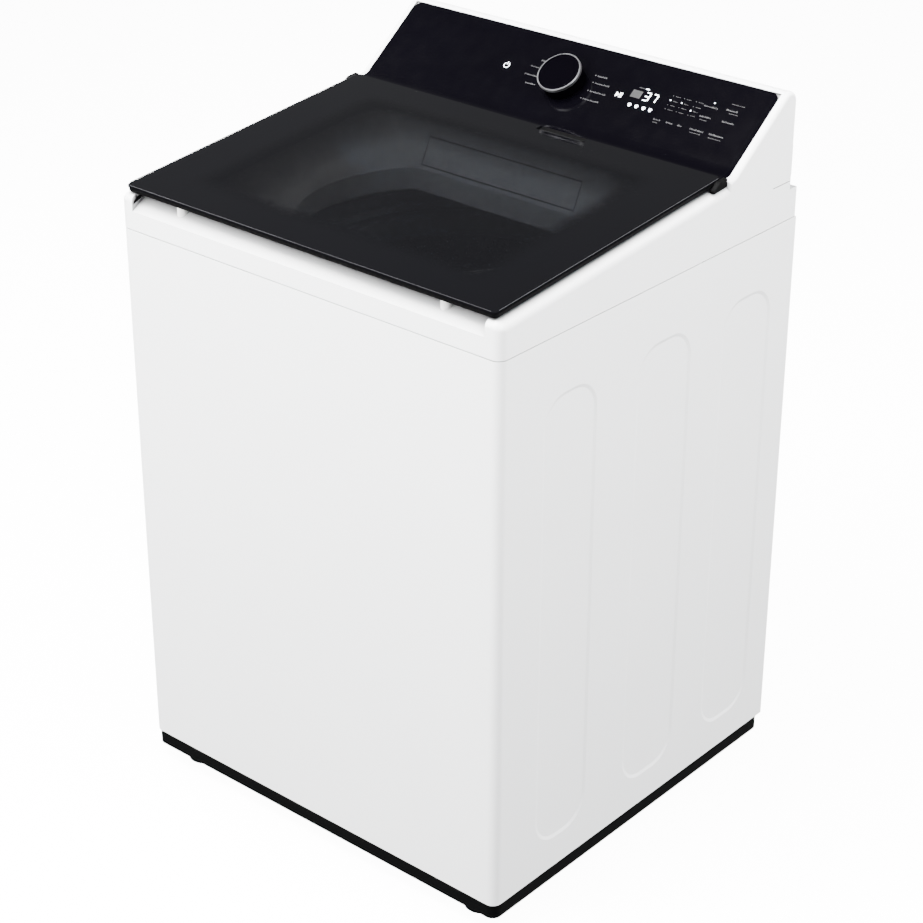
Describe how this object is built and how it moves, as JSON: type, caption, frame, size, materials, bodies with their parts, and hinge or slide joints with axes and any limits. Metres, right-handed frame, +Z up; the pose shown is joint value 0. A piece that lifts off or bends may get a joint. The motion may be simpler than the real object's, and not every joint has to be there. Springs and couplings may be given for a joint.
{
  "type": "top load washing machine",
  "caption": "White top load washing machine with a tinted glass lid, sloping black touch console with one dial, sprung tub, spinning basket, pulsator and levelling feet.",
  "frame": {"origin": "on the floor under the middle of the outline", "axes": "+Z up, front of the machine faces -Y, +X to the machine's right-hand side as its user sees it"},
  "size_m": [0.686, 0.67, 1.0721],
  "materials": {
    "white_sheet": "satin white paint",
    "white_plastic": "satin white",
    "black_plastic": "matte black",
    "gloss_black": "gloss black",
    "silver_trim": "satin chrome",
    "tinted_glass": "tinted, with a black printed border",
    "steel": "zinc plated",
    "stainless": "brushed",
    "grey_plastic": "matte",
    "valve_plastic": "matte",
    "cast_aluminium": "as cast",
    "motor_iron": "lacquered",
    "circuit_board": "matte green",
    "black_rubber": "matte"
  },
  "bodies": {
    "cabinet": {"base_frame": "black_plastic", "cabinet_wrapper": "white_sheet", "console_panel": "gloss_black", "console_rear_cover": "white_plastic", "cord_gland": "black_plastic", "dispenser_housing": "white_plastic", "display_board": "circuit_board", "drain_hose": "black_rubber", "drain_outlet": "black_plastic", "drum_light": "black_plastic", "fill_hoses": "black_rubber", "foot_lock_nuts": "steel", "hinge_brackets": "black_plastic", "inlet_valve_cold": "valve_plastic", "inlet_valve_hot": "valve_plastic", "lid_bumpers": "white_plastic", "lid_lock_housing": "black_plastic", "main_board": "circuit_board", "rear_panel": "white_sheet", "rear_panel_screws": "steel", "suspension_brackets": "steel", "suspension_caps": "black_plastic", "suspension_rods": "steel", "suspension_springs": "steel", "top_cover": "white_plastic"},
    "lid": {"lid_glass": "tinted_glass", "lid_frame": "black_plastic", "lid_hinge_pins": "steel", "lid_strike": "steel"},
    "dial": {"dial_knob": "gloss_black", "dial_trim_ring": "silver_trim", "dial_shaft": "steel"},
    "lock": {"lock_bolt": "grey_plastic"},
    "drawer": {"dispenser_drawer": "white_plastic", "siphon_cap": "grey_plastic"},
    "tub": {"outer_tub": "grey_plastic", "tub_cover": "grey_plastic", "bearing_housing": "cast_aluminium", "upper_bearing": "steel", "lower_bearing": "steel", "shaft_seal": "black_rubber", "motor_stator": "motor_iron", "clutch_coil": "motor_iron", "drain_pump_housing": "black_plastic"},
    "basket": {"basket_shell": "stainless", "basket_floor": "stainless", "basket_hub": "cast_aluminium", "spin_shaft": "steel", "balance_ring": "grey_plastic"},
    "impeller": {"pulsator": "grey_plastic", "pulsator_bolt": "steel", "drive_shaft": "steel", "motor_rotor": "motor_iron"},
    "clutch": {"clutch_coupler": "grey_plastic"},
    "pump": {"pump_impeller": "grey_plastic"},
    "foot_front_left": {"foot_front_left": "black_plastic"},
    "foot_front_right": {"foot_front_right": "black_plastic"},
    "foot_back_left": {"foot_back_left": "black_plastic"},
    "foot_back_right": {"foot_back_right": "black_plastic"}
  },
  "joints": [
    {"name": "lid_hinge", "type": "hinge", "parent": "cabinet", "child": "lid", "pos_m": [0, 0.135, 0.98116], "axis": [-1, 0, 0], "range_deg": [0, 100]},
    {"name": "dial_turn", "type": "hinge", "parent": "cabinet", "child": "dial", "pos_m": [0, 0.21771, 1.02702], "axis": [0, -0.599, 0.8007], "continuous": true},
    {"name": "lock_bolt_slide", "type": "slide", "parent": "cabinet", "child": "lock", "axis": [-1, 0, 0], "range_m": [0, 0.012]},
    {"name": "drawer_slide", "type": "slide", "parent": "cabinet", "child": "drawer", "axis": [0, -1, 0], "range_m": [0, 0.09]},
    {"name": "tub_bounce", "type": "slide", "parent": "cabinet", "child": "tub", "axis": [0, 0, 1], "range_m": [-0.03, 0.01], "stiffness_N_per_m": 16000, "springref_m": 0.02287, "deforming": ["suspension_springs", "drain_hose"]},
    {"name": "basket_spin", "type": "hinge", "parent": "tub", "child": "basket", "pos_m": [0, -0.01, 0.2], "axis": [0, 0, 1], "continuous": true},
    {"name": "pulsator_spin", "type": "hinge", "parent": "tub", "child": "impeller", "pos_m": [0, -0.01, 0.2], "axis": [0, 0, 1], "continuous": true},
    {"name": "clutch_shift", "type": "slide", "parent": "basket", "child": "clutch", "axis": [0, 0, -1], "range_m": [0, 0.006]},
    {"name": "pump_spin", "type": "hinge", "parent": "tub", "child": "pump", "pos_m": [0.17, 0.12, 0.19], "axis": [0, 0, 1], "continuous": true},
    {"name": "foot_height_front_left", "type": "slide", "parent": "cabinet", "child": "foot_front_left", "axis": [0, 0, -1], "range_m": [-0.009, 0.009]},
    {"name": "foot_height_front_right", "type": "slide", "parent": "cabinet", "child": "foot_front_right", "axis": [0, 0, -1], "range_m": [-0.009, 0.009]},
    {"name": "foot_height_back_left", "type": "slide", "parent": "cabinet", "child": "foot_back_left", "axis": [0, 0, -1], "range_m": [-0.009, 0.009]},
    {"name": "foot_height_back_right", "type": "slide", "parent": "cabinet", "child": "foot_back_right", "axis": [0, 0, -1], "range_m": [-0.009, 0.009]}
  ]
}
